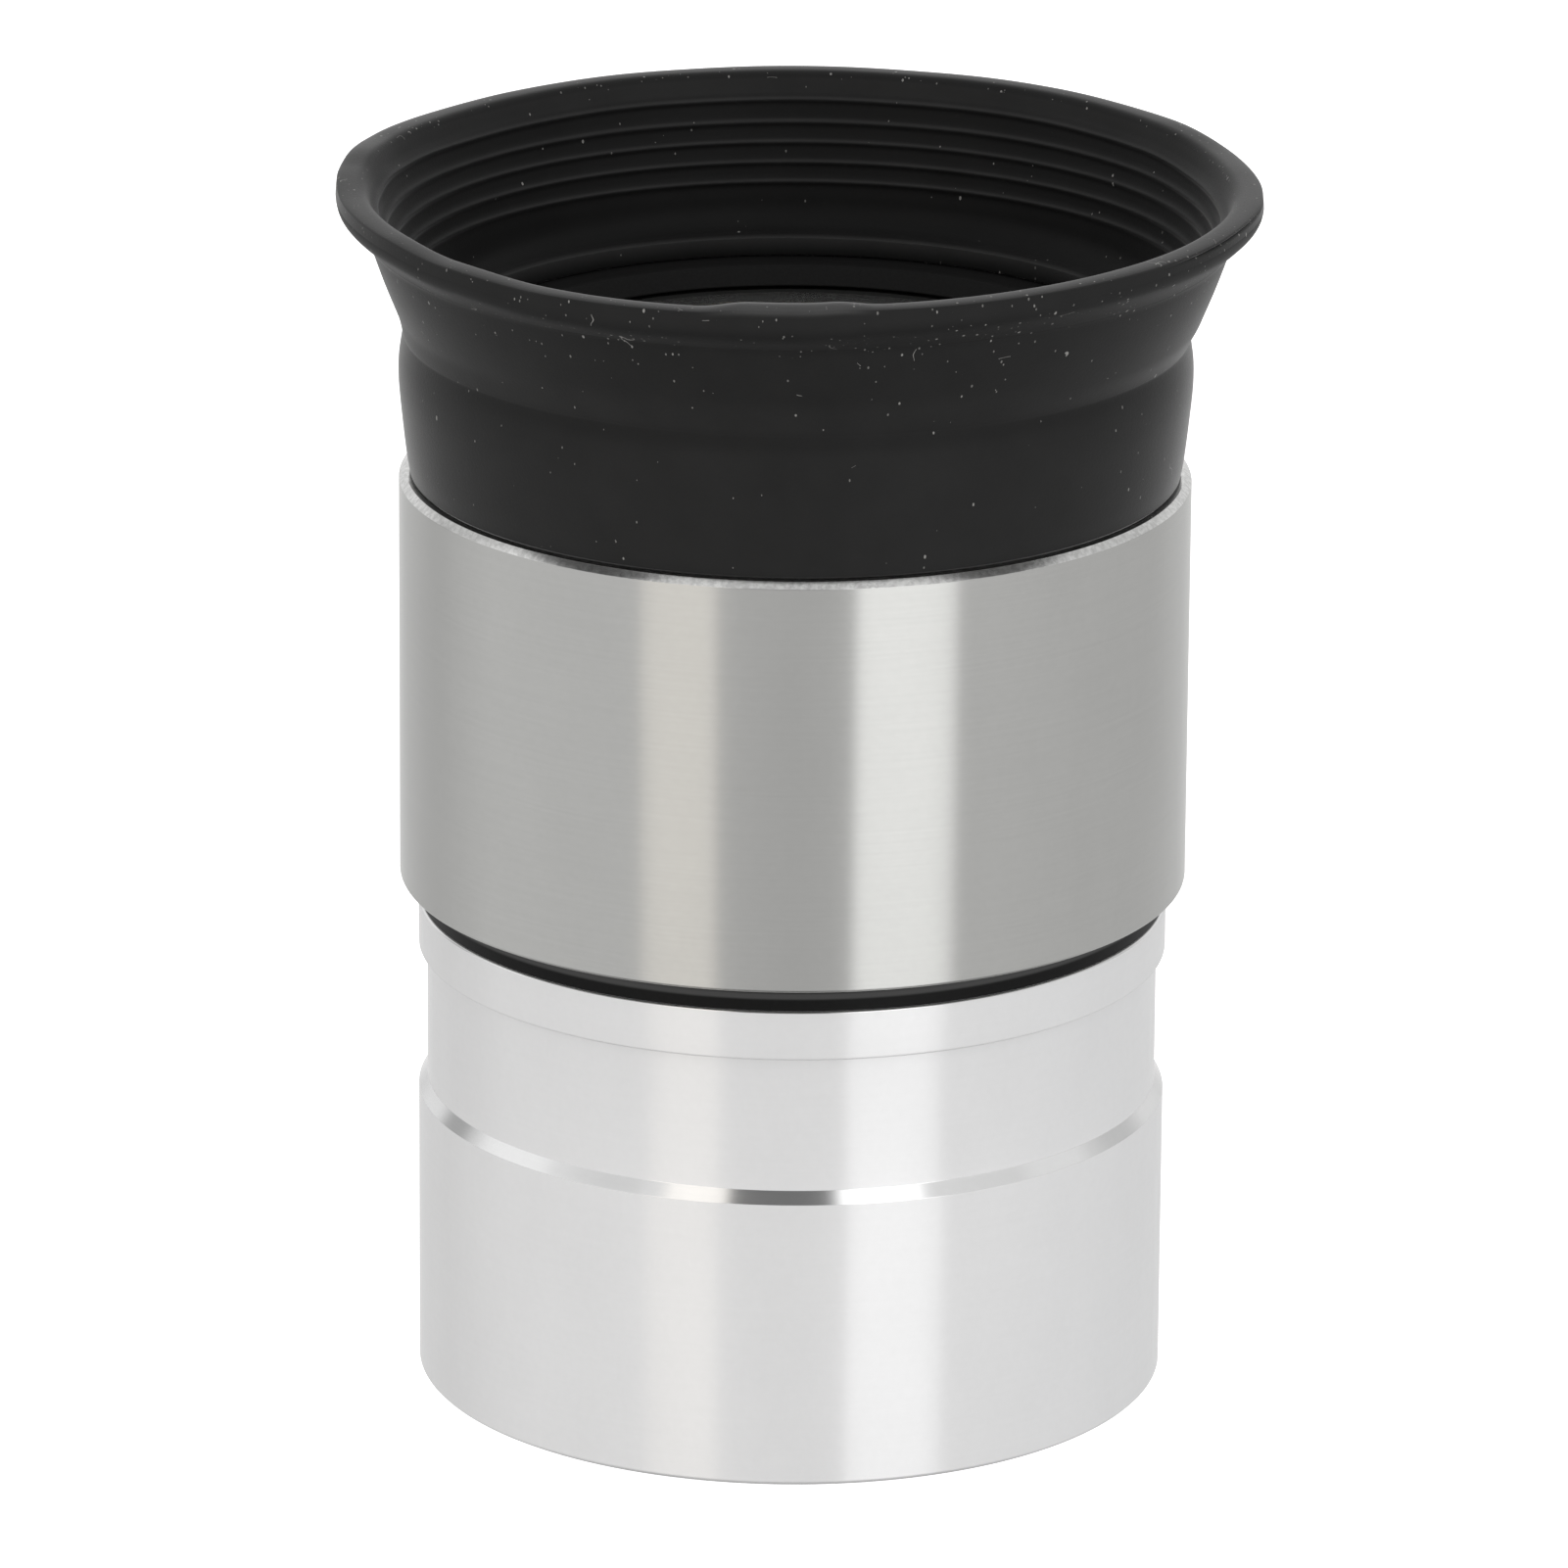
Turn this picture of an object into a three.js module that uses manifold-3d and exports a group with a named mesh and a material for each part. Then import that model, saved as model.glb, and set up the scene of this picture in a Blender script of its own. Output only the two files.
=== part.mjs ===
// A 1.25 inch telescope eyepiece of the Ploessl type, as an assembly of its separate pieces.
//
// Units are millimetres. The optical axis is Z, with Z = 0 at the open end of the barrel and +Z
// towards the eye. Every piece is turned about Z, so each one is a closed profile of [radius, height]
// points, listed with the outer side going up.

import * as THREE from 'three';
import { mergeVertices } from 'three/addons/utils/BufferGeometryUtils.js';
import Module from 'manifold-3d';

const wasm = await Module();
wasm.setup();

// ---- driving dimensions ----

const FACETS = 48; // round every turned piece
const FIT = 0.1; // clearance between pieces that stay together
const RUNNING_FIT = 0.15; // clearance between pieces that slide or turn

// barrel
const BARREL_R = 31.75 / 2; // the 1.25 inch push-fit standard
const BARREL_TOP = 20.88;
const BARREL_BREAK = 0.15; // broken lower edge
const UNDERCUT_R = 15.5;
const UNDERCUT_LOW = 12.98;
const UNDERCUT_HIGH = 18.8;
const BEVEL_LOW = 12.45;
const LIGHT_BORE_R = 13.9;
const FILTER_THREAD_R = 28.5 / 2; // M28.5 x 0.6 filter thread, major radius
const FILTER_THREAD_DEPTH = 6;
const BARREL_THREAD_R = 14.6; // female thread that takes the housing's neck
const BARREL_THREAD_LOW = 16.2;

// seal ring, in the gap between barrel and body
const SEAL_R = 15.5;
const SEAL_ROUNDING = 0.3;

// body sleeve
const BODY_R = 16.66;
const BODY_LOW = 22;
const BODY_TOP = 39.6;
const BODY_BREAK = 0.1;
const BODY_CHAMFER = [0.48, 0.23]; // inwards, and down
const SLEEVE_WALL = 0.9;
const SLEEVE_LIP = 1; // height of the inner lip that the barrel clamps
const SHOULDER_R = 15.95; // inner edge of the face that stops on the focuser's rim
const SEAL_RECESS = 0.1; // how far the lip is set back inside that face

// lens housing
const NECK_R = BARREL_THREAD_R - RUNNING_FIT;
const NECK_LOW = 16.6;
const SPIGOT_R = 15.2; // the eyecup grips here
const SPIGOT_TOP = 44.75;
const EYE_APERTURE_R = 13;
const EYE_LIP = 0.75; // thickness of the lip over the eye lens

// optics
const LENS_R = 13.5;
const EYE_APEX = 45.08;
const OUTER_CURVE = 69; // radius of the surfaces that face the eye and the barrel
const CEMENT_CURVE = 40;
const INNER_CURVE = 45; // radius of the crown surfaces that face each other
const FLINT_CENTRE = 2;
const CROWN_CENTRE = 7.5;
const CROWN_GAP = 0.58; // air between the crowns at the axis
const LENS_STEPS = 3; // rings of facets on each lens surface
const FIELD_APERTURE_R = 12.6;
const SPACER_BORE_R = 12.7;
const RETAINER_HEIGHT = 1.7;

// field stop
const STOP_R = 13.5;
const STOP_LOW = 4.7;
const STOP_HEIGHT = 1.1;

// spanner slots in the two threaded rings
const SLOT_WIDTH = 1.6;
const SLOT_DEPTH = 0.6;

// eyecup
const EYECUP_LOW = 39.7;
const EYECUP_LIP_R = 15;
const CREASE = 45.8; // height at which the wall folds
const CREASE_GAP = 0.15;
const RIM_LOW = 51.1;
const RIM_TOP = 52.05;
const RIM_R = 19.35;

// ---- materials ----

function finish(color, roughness, metalness) {
  return new THREE.MeshStandardMaterial({ color, roughness, metalness });
}

const finishes = {
  rubber: () => finish(0x2a2a2a, 0.85, 0),
  steel: () => finish(0xa3a19e, 0.35, 1),
  barrel: () => finish(0xd6d5d3, 0.3, 1),
  black: () => finish(0x101011, 0.6, 0.4),
  glass: () => finish(0x9fb0a8, 0.05, 0),
};

// ---- helpers ----

const eyepiece = new THREE.Group();

// Turns a profile about Z. A ring's profile is closed here; a lens profile runs from axis to axis.
function turned(profile) {
  const onAxis = profile[0][0] === 0;
  const loop = onAxis ? profile : [...profile, profile[0]];
  const points = loop.map(([r, z]) => new THREE.Vector2(r, z));
  return new THREE.LatheGeometry(points, FACETS).rotateX(Math.PI / 2);
}

function add(name, geometry, material) {
  const mesh = new THREE.Mesh(geometry, material);
  mesh.name = name;
  eyepiece.add(mesh);
  return mesh;
}

function solidOf(geometry) {
  const bare = geometry.clone();
  bare.deleteAttribute('normal');
  bare.deleteAttribute('uv');
  const merged = mergeVertices(bare, 1e-4);
  return new wasm.Manifold(new wasm.Mesh({
    numProp: 3,
    vertProperties: merged.attributes.position.array,
    triVerts: Uint32Array.from(merged.index.array),
  }));
}

function geometryOf(solid) {
  const { vertProperties, triVerts } = solid.getMesh();
  const geometry = new THREE.BufferGeometry();
  geometry.setAttribute('position', new THREE.BufferAttribute(vertProperties, 3));
  geometry.setIndex(new THREE.BufferAttribute(triVerts, 1));
  geometry.computeVertexNormals();
  return geometry;
}

// How far a spherical surface falls below its apex at a radius.
function sag(curve, r) {
  return curve - Math.sqrt(curve * curve - r * r);
}

// Points on a spherical surface from the axis to the lens edge. It opens up (+1) or down (-1).
function surface(apex, curve, opens) {
  const points = [];
  for (let i = 0; i <= LENS_STEPS; i += 1) {
    const r = (LENS_R * i) / LENS_STEPS;
    points.push([r, apex + opens * sag(curve, r)]);
  }
  return points;
}

function lens(name, lower, upper) {
  add(name, turned([...lower, ...upper.reverse()]), finishes.glass());
}

// Cuts two spanner slots across the lower face of a ring.
function slotted(geometry, low) {
  const slot = new THREE.BoxGeometry(SLOT_WIDTH, 4 * LENS_R, 2 * SLOT_DEPTH);
  slot.translate(0, 0, low);
  return geometryOf(solidOf(geometry).subtract(solidOf(slot)));
}

// ---- barrel and what it holds ----

function barrel() {
  add('barrel', turned([
    [FILTER_THREAD_R, 0],
    [BARREL_R - BARREL_BREAK, 0],
    [BARREL_R, BARREL_BREAK],
    [BARREL_R, BEVEL_LOW],
    [UNDERCUT_R, UNDERCUT_LOW],
    [UNDERCUT_R, UNDERCUT_HIGH],
    [BARREL_R, UNDERCUT_HIGH],
    [BARREL_R, BARREL_TOP],
    [BARREL_THREAD_R, BARREL_TOP],
    [BARREL_THREAD_R, BARREL_THREAD_LOW],
    [LIGHT_BORE_R, BARREL_THREAD_LOW],
    [LIGHT_BORE_R, FILTER_THREAD_DEPTH],
    [FILTER_THREAD_R, FILTER_THREAD_DEPTH],
  ]), finishes.barrel());
}

function fieldStop() {
  const outer = FILTER_THREAD_R - RUNNING_FIT;
  const ring = turned([
    [STOP_R, STOP_LOW],
    [outer, STOP_LOW],
    [outer, STOP_LOW + STOP_HEIGHT],
    [STOP_R, STOP_LOW + STOP_HEIGHT],
  ]);
  add('field_stop', slotted(ring, STOP_LOW), finishes.black());
}

function sealRing() {
  const inner = NECK_R + FIT;
  const low = BARREL_TOP + FIT;
  const high = BODY_LOW + SEAL_RECESS - FIT;
  add('seal_ring', turned([
    [inner, low],
    [SEAL_R - SEAL_ROUNDING, low],
    [SEAL_R, low + SEAL_ROUNDING],
    [SEAL_R, high - SEAL_ROUNDING],
    [SEAL_R - SEAL_ROUNDING, high],
    [inner, high],
  ]), finishes.rubber());
}

// ---- body ----

function bodySleeve() {
  const bore = BODY_R - SLEEVE_WALL;
  const [chamferIn, chamferDown] = BODY_CHAMFER;
  add('body_sleeve', turned([
    [NECK_R + FIT, BODY_LOW + SEAL_RECESS],
    [SHOULDER_R, BODY_LOW + SEAL_RECESS],
    [SHOULDER_R, BODY_LOW],
    [BODY_R - BODY_BREAK, BODY_LOW],
    [BODY_R, BODY_LOW + BODY_BREAK],
    [BODY_R, BODY_TOP - chamferDown],
    [BODY_R - chamferIn, BODY_TOP],
    [bore, BODY_TOP],
    [bore, BODY_LOW + SLEEVE_LIP],
    [NECK_R + FIT, BODY_LOW + SLEEVE_LIP],
  ]), finishes.steel());
}

function lensHousing() {
  const wall = BODY_R - SLEEVE_WALL - FIT;
  const bore = LENS_R + FIT;
  const shoulder = BODY_LOW + SLEEVE_LIP + FIT;
  add('lens_housing', turned([
    [bore, NECK_LOW],
    [NECK_R, NECK_LOW],
    [NECK_R, shoulder],
    [wall, shoulder],
    [wall, BODY_TOP],
    [SPIGOT_R, BODY_TOP],
    [SPIGOT_R, SPIGOT_TOP],
    [EYE_APERTURE_R, SPIGOT_TOP],
    [EYE_APERTURE_R, SPIGOT_TOP - EYE_LIP],
    [bore, SPIGOT_TOP - EYE_LIP],
  ]), finishes.black());
}

// ---- optics, from the eye down ----

function optics() {
  const eyeCement = EYE_APEX - FLINT_CENTRE;
  const eyeCrownTop = eyeCement - FIT;
  const eyeCrownLow = eyeCrownTop - CROWN_CENTRE;
  const fieldCrownTop = eyeCrownLow - CROWN_GAP;
  const fieldCrownLow = fieldCrownTop - CROWN_CENTRE;
  const fieldCement = fieldCrownLow - FIT;
  const fieldApex = fieldCement - FLINT_CENTRE;

  lens('eye_flint', surface(eyeCement, CEMENT_CURVE, -1), surface(EYE_APEX, OUTER_CURVE, -1));
  lens('eye_crown', surface(eyeCrownLow, INNER_CURVE, 1), surface(eyeCrownTop, CEMENT_CURVE, -1));
  lens('field_crown', surface(fieldCrownLow, CEMENT_CURVE, 1), surface(fieldCrownTop, INNER_CURVE, -1));
  lens('field_flint', surface(fieldApex, OUTER_CURVE, 1), surface(fieldCement, CEMENT_CURVE, 1));

  const seat = sag(INNER_CURVE, SPACER_BORE_R);
  const spacerTop = eyeCrownLow + seat - RUNNING_FIT;
  const spacerLow = fieldCrownTop - seat + RUNNING_FIT;
  add('spacer_ring', turned([
    [SPACER_BORE_R, spacerLow],
    [LENS_R, spacerLow],
    [LENS_R, spacerTop],
    [SPACER_BORE_R, spacerTop],
  ]), finishes.black());

  const retainerTop = fieldApex + sag(OUTER_CURVE, FIELD_APERTURE_R) - RUNNING_FIT;
  const retainerLow = retainerTop - RETAINER_HEIGHT;
  const retainer = turned([
    [FIELD_APERTURE_R, retainerLow],
    [LENS_R, retainerLow],
    [LENS_R, retainerTop],
    [FIELD_APERTURE_R, retainerTop],
  ]);
  add('retaining_ring', slotted(retainer, retainerLow), finishes.black());
}

// ---- eyecup: one rubber moulding, in the three stretches that move apart as it folds ----

function eyecup() {
  const grip = SPIGOT_R + RUNNING_FIT;
  const lipLow = SPIGOT_TOP + RUNNING_FIT;
  add('eyecup_base', turned([
    [grip, EYECUP_LOW],
    [16.15, EYECUP_LOW],
    [16.39, 40.6],
    [16.53, 42.3],
    [16.65, 44],
    [16.6, 45.3],
    [16.62, CREASE],
    [16.2, CREASE],
    [EYECUP_LIP_R, 45.6],
    [EYECUP_LIP_R, lipLow],
    [grip, lipLow],
  ]), finishes.rubber());

  add('eyecup_wall', turned([
    [16.3, CREASE + CREASE_GAP],
    [16.7, CREASE + CREASE_GAP],
    [17.42, 47.8],
    [17.92, 49.75],
    [19.1, RIM_LOW - CREASE_GAP],
    [17.9, RIM_LOW - CREASE_GAP],
    [17.2, 49.1],
    [16.6, 47.6],
  ]), finishes.rubber());

  add('eyecup_rim', turned([
    [17.9, RIM_LOW],
    [RIM_R, RIM_LOW],
    [RIM_R, 51.7],
    [18.1, RIM_TOP],
    [17.75, 51.9],
    [17.75, 51.4],
  ]), finishes.rubber());
}

barrel();
fieldStop();
sealRing();
bodySleeve();
lensHousing();
optics();
eyecup();

export default eyepiece;
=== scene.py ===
"""Looks for a push-in telescope eyepiece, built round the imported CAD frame.

Every piece is turned about the optical axis Z, so each is a fine lathe mesh. Its outer size and its
heights come from the CAD node that it replaces. Outlines are lists of (radius, height) points in
millimetres, with the outer side going up. Heights are above the barrel's lower end, where the frame
has its origin.
"""

import math

import bmesh
import bpy
import numpy as np
from mathutils import Matrix, Vector


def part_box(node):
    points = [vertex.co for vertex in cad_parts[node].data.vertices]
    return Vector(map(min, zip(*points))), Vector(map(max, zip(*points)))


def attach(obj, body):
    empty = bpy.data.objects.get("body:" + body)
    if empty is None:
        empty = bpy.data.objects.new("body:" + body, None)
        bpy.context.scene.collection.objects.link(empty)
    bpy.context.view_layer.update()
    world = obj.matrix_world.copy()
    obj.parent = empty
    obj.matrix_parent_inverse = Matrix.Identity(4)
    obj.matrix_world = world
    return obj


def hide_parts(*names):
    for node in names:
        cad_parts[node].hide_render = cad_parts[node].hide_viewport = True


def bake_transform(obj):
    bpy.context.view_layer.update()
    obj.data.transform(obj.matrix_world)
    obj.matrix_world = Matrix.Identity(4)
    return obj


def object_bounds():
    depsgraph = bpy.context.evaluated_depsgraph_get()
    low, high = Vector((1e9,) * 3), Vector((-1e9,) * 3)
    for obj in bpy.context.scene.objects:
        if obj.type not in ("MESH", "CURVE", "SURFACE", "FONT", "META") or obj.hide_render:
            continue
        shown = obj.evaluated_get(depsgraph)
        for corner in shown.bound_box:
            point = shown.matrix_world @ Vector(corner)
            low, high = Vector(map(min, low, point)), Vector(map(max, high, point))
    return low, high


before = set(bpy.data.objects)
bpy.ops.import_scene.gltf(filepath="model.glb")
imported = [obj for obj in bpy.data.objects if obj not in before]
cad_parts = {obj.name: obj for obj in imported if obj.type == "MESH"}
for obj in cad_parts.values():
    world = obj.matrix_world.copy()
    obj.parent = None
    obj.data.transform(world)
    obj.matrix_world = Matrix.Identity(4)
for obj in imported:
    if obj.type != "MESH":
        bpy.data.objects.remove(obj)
cad_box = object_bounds()
scene = bpy.context.scene

MM = 0.001
SEGMENTS = 320  # round every turned piece
FINE_SEGMENTS = 384  # round the eyecup, whose edge is the largest
LENS_SEGMENTS = 192  # round each lens
LADDER = 0.06  # step between the points of a finely shaped stretch
SHARP_ANGLE = 32  # degrees between two faces, above which the edge between them looks sharp

# ---- camera ----

CAMERA_PLACE = Vector((0.0, -0.4868, 0.1827))  # metres
CAMERA_PITCH = math.radians(17.875)
CAMERA_YAW = math.radians(-0.045)
CAMERA_ROLL = math.radians(0.407)
CAMERA_LENS = 277.1  # millimetres, as is the sensor's width
CAMERA_SENSOR = 36.0


def add_camera():
    forward = Vector((
        math.sin(CAMERA_YAW) * math.cos(CAMERA_PITCH),
        math.cos(CAMERA_YAW) * math.cos(CAMERA_PITCH),
        -math.sin(CAMERA_PITCH),
    ))
    level = Vector((math.cos(CAMERA_YAW), -math.sin(CAMERA_YAW), 0))
    above = level.cross(forward)
    right = level * math.cos(CAMERA_ROLL) + above * math.sin(CAMERA_ROLL)
    up = above * math.cos(CAMERA_ROLL) - level * math.sin(CAMERA_ROLL)
    camera = bpy.data.objects.new("camera", bpy.data.cameras.new("camera"))
    scene.collection.objects.link(camera)
    axes = Matrix((right, up, -forward)).transposed()
    camera.matrix_world = Matrix.Translation(CAMERA_PLACE) @ axes.to_4x4()
    camera.data.lens = CAMERA_LENS
    camera.data.sensor_width = CAMERA_SENSOR
    camera.data.clip_start = 0.01
    camera.data.clip_end = 10
    scene.camera = camera


# ---- shader node helpers ----


def node(tree, kind, inputs=None, **settings):
    """Adds a shader node. An input may be a value or another node's output."""
    made = tree.nodes.new("ShaderNode" + kind)
    for key, value in settings.items():
        setattr(made, key, value)
    for key, value in (inputs or {}).items():
        if isinstance(value, bpy.types.NodeSocket):
            tree.links.new(value, made.inputs[key])
        else:
            made.inputs[key].default_value = value
    return made


def maths(tree, operation, a, b=0.0, c=0.0):
    return node(tree, "Math", {0: a, 1: b, 2: c}, operation=operation).outputs[0]


def ramp(tree, value, low, high, out_low=0.0, out_high=1.0):
    """A smooth step from out_low to out_high as value goes from low to high."""
    inputs = {"Value": value, "From Min": low, "From Max": high, "To Min": out_low, "To Max": out_high}
    return node(tree, "MapRange", inputs, interpolation_type="SMOOTHSTEP").outputs["Result"]


def band(tree, value, low, high, soft):
    """1 between low and high, falling softly to 0 outside."""
    up = ramp(tree, value, low - soft / 2, low + soft / 2)
    down = ramp(tree, value, high - soft / 2, high + soft / 2, 1.0, 0.0)
    return maths(tree, "MULTIPLY", up, down)


def blend_colour(tree, factor, first, second):
    """The first colour where factor is 0, and the second where it is 1."""
    made = node(tree, "Mix", data_type="RGBA")
    for index, value in ((0, factor), (6, first), (7, second)):
        if isinstance(value, bpy.types.NodeSocket):
            tree.links.new(value, made.inputs[index])
        else:
            made.inputs[index].default_value = value
    return made.outputs[2]


def grey(level):
    return (level, level, level, 1.0)


def place_in_mm(tree, scale=(1, 1, 1)):
    """The point's place in the frame, in millimetres, stretched by scale."""
    place = node(tree, "TexCoord").outputs["Object"]
    stretch = [1 / MM * s for s in scale]
    return node(tree, "VectorMath", {0: place, 1: stretch}, operation="MULTIPLY").outputs[0]


def noise(tree, place, scale, detail=2.0, rough=0.5):
    inputs = {"Vector": place, "Scale": scale, "Detail": detail, "Roughness": rough}
    return node(tree, "TexNoise", inputs).outputs["Fac"]


def surface(name, values):
    """A new material with one Principled shader."""
    material = bpy.data.materials.new(name)
    material.use_nodes = True
    shader = material.node_tree.nodes["Principled BSDF"]
    for key, value in values.items():
        shader.inputs[key].default_value = value
    return material, material.node_tree, shader


def bump(tree, shader, height, microns):
    inputs = {"Height": height, "Distance": microns * 1e-6, "Strength": 1.0}
    normal = node(tree, "Bump", inputs).outputs["Normal"]
    tree.links.new(normal, shader.inputs["Normal"])


# ---- studio ----

SKY_STOPS = (  # brightness round the horizon: direction from the camera's side in degrees, level
    (-180, 0.92), (-166, 0.80), (-155, 0.68), (-128, 0.64), (-100, 0.80), (-50, 0.82), (0, 0.70),
    (60, 0.78), (90, 0.70), (125, 0.66), (155, 0.70), (166, 0.78), (180, 0.92),
)
PANELS = (  # lighter and darker parts of the studio: direction from, to; height from, to; level
    (-166, -134, -2, 22, 0.82), (-131, -119, 6, 24, 0.40), (-114, -86, 18, 43, 0.98),
    (-80, -54, 36, 48, 0.70), (84, 107, 18, 43, 0.82), (114, 129, 6, 26, 0.58),
    (134, 166, -2, 22, 0.78), (-26, 16, 40, 64, 0.12), (-116, -66, 46, 66, 0.08),
    (72, 112, 46, 66, 0.10),
)
PANEL_SIDES = 6.0  # how softly a panel starts and ends, in degrees
PANEL_ENDS = 8.0
SOFTBOXES = (  # direction from, to; level; tint
    (-44.5, -22.5, 1.20, (1.0, 0.97, 0.93)),
    (18.0, 47.5, 1.50, (1.0, 1.0, 1.0)),
)
BOX_SIDES = 3.0
BOX_ENDS = 6.0
BOX_LOW = -70.0
BOX_TOP = 60.0
GROUND_LOW = -66.0  # the studio darkens between these heights, down to the ground's level
GROUND_HIGH = -34.0
GROUND_LEVEL = 0.10
BACKDROP_LEVEL = 1.05  # what the camera sees behind the object
FLOOR_RADIUS = 4.0
FLOOR_GAP = 0.02 * MM


def studio():
    """Soft light from all round, with two tall softboxes in front and a dark panel between them."""
    world = bpy.data.worlds.new("studio")
    world.use_nodes = True
    scene.world = world
    tree = world.node_tree
    tree.nodes.clear()
    direction = node(tree, "TexCoord").outputs["Generated"]
    axes = node(tree, "SeparateXYZ", {0: direction}).outputs
    towards = maths(tree, "MULTIPLY", axes["Y"], -1.0)
    azimuth = maths(tree, "MULTIPLY", maths(tree, "ARCTAN2", axes["X"], towards), math.degrees(1))
    height = maths(tree, "MULTIPLY", maths(tree, "ARCSINE", axes["Z"]), math.degrees(1))

    place = node(tree, "MapRange", {"Value": azimuth, "From Min": -180.0, "From Max": 180.0})
    sky = node(tree, "ValToRGB", {0: place.outputs["Result"]})
    stops = sky.color_ramp.elements
    while len(stops) < len(SKY_STOPS):
        stops.new(0.5)
    for stop, (degrees, level) in zip(stops, SKY_STOPS):
        stop.position = (degrees + 180) / 360
        stop.color = grey(level)
    level = sky.outputs["Color"]

    for left, right, low, high, bright in PANELS:
        across = band(tree, azimuth, left, right, PANEL_SIDES)
        panel = maths(tree, "MULTIPLY", across, band(tree, height, low, high, PANEL_ENDS))
        level = blend_colour(tree, panel, level, grey(bright))
    upright = band(tree, height, BOX_LOW, BOX_TOP, BOX_ENDS)
    for left, right, bright, tint in SOFTBOXES:
        box = maths(tree, "MULTIPLY", band(tree, azimuth, left, right, BOX_SIDES), upright)
        colour = tuple(bright * c for c in tint) + (1,)
        level = blend_colour(tree, box, level, colour)
    under = ramp(tree, height, GROUND_LOW, GROUND_HIGH)
    level = blend_colour(tree, under, grey(GROUND_LEVEL), level)

    seen = node(tree, "LightPath").outputs["Is Camera Ray"]
    light = node(tree, "Background", {"Color": level, "Strength": 1.0}).outputs[0]
    white = node(tree, "Background", {"Color": grey(1.0), "Strength": BACKDROP_LEVEL}).outputs[0]
    mixed = node(tree, "MixShader", {0: seen, 1: light, 2: white}).outputs[0]
    output = node(tree, "OutputWorld")
    tree.links.new(mixed, output.inputs["Surface"])


def add_floor():
    """A plain pale floor. Only the camera sees it: the studio's lower half carries its light."""
    mesh = bpy.data.meshes.new("floor")
    shape = bmesh.new()
    bmesh.ops.create_circle(shape, cap_ends=True, segments=96, radius=FLOOR_RADIUS)
    shape.to_mesh(mesh)
    shape.free()
    floor = bpy.data.objects.new("floor", mesh)
    scene.collection.objects.link(floor)
    floor.location.z = cad_box[0].z - FLOOR_GAP
    material, tree, shader = surface("floor_paper", {"Base Color": grey(0.85), "Roughness": 0.9})
    shader.inputs["Emission Color"].default_value = grey(1.0)
    shader.inputs["Emission Strength"].default_value = 0.80
    clear = node(tree, "BsdfTransparent").outputs[0]
    below = node(tree, "NewGeometry").outputs["Backfacing"]
    mixed = node(tree, "MixShader", {0: below, 1: shader.outputs[0], 2: clear}).outputs[0]
    tree.links.new(mixed, tree.nodes["Material Output"].inputs["Surface"])
    mesh.materials.append(material)
    for ray in ("diffuse", "glossy", "transmission", "shadow"):
        setattr(floor, "visible_" + ray, False)


# ---- materials ----

GRAIN = 0.05  # how much the turned metals' own grain varies their colour


def turning_marks(tree, pitch):
    """Fine rings left by the lathe, pitch millimetres apart, that run round the piece."""
    place = place_in_mm(tree, (0.12, 0.12, 1.0 / pitch))
    return noise(tree, place, 1.0, detail=3.0, rough=0.6)


def turned_metal(name, colour, values, pitch, contrast, microns):
    """Metal with a turned finish, whose highlights smear along the axis, across the rings.

    The rings are pitch millimetres apart and microns deep, and vary the colour by contrast.
    """
    material, tree, shader = surface(name, values)
    marks = turning_marks(tree, pitch)
    cloud = noise(tree, place_in_mm(tree, (1, 1, 0.5)), 0.35, detail=3.0)
    shade = maths(tree, "ADD", maths(tree, "MULTIPLY", marks, contrast), 1.0 - contrast / 2)
    cloudy = maths(tree, "ADD", maths(tree, "MULTIPLY", cloud, 0.06), 0.97)
    grain = noise(tree, place_in_mm(tree), 3.0, detail=3.0, rough=0.6)
    grainy = maths(tree, "ADD", maths(tree, "MULTIPLY", grain, GRAIN), 1.0 - GRAIN / 2)
    shade = maths(tree, "MULTIPLY", maths(tree, "MULTIPLY", shade, cloudy), grainy)
    tone = node(tree, "VectorMath", {0: colour, "Scale": shade}, operation="SCALE").outputs[0]
    tree.links.new(tone, shader.inputs["Base Color"])
    tangent = node(tree, "Tangent", direction_type="RADIAL", axis="Z").outputs[0]
    tree.links.new(tangent, shader.inputs["Tangent"])
    bump(tree, shader, marks, microns)
    return material


def brushed_steel():
    values = {"Metallic": 1.0, "Roughness": 0.25, "Anisotropic": 1.0, "Anisotropic Rotation": 0.25}
    colour = (0.545, 0.545, 0.53)
    return turned_metal("brushed_steel", colour, values, pitch=0.11, contrast=0.06, microns=1.2)


def edge_steel():
    """The sleeve's top edge, broken by hand: mottled and a little brighter."""
    material, tree, shader = surface("edge_steel", {"Metallic": 1.0, "Roughness": 0.17})
    place = place_in_mm(tree)
    mottle = noise(tree, place, 4.0, detail=4.0, rough=0.65)
    shade = ramp(tree, mottle, 0.36, 0.66)
    colour = blend_colour(tree, shade, (0.60, 0.60, 0.59, 1), (0.78, 0.78, 0.77, 1))
    tree.links.new(colour, shader.inputs["Base Color"])
    bump(tree, shader, mottle, 2.0)
    return material


def satin_aluminium():
    values = {"Metallic": 0.30, "Roughness": 0.27, "Anisotropic": 1.0, "Anisotropic Rotation": 0.25}
    colour = (0.845, 0.845, 0.85)
    return turned_metal("satin_aluminium", colour, values, pitch=0.16, contrast=0.03, microns=0.8)


def cut_aluminium():
    values = {"Metallic": 1.0, "Roughness": 0.16, "Anisotropic": 0.6, "Anisotropic Rotation": 0.25}
    colour = (0.84, 0.84, 0.84)
    return turned_metal("cut_aluminium", colour, values, pitch=0.2, contrast=0.05, microns=0.3)


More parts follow.
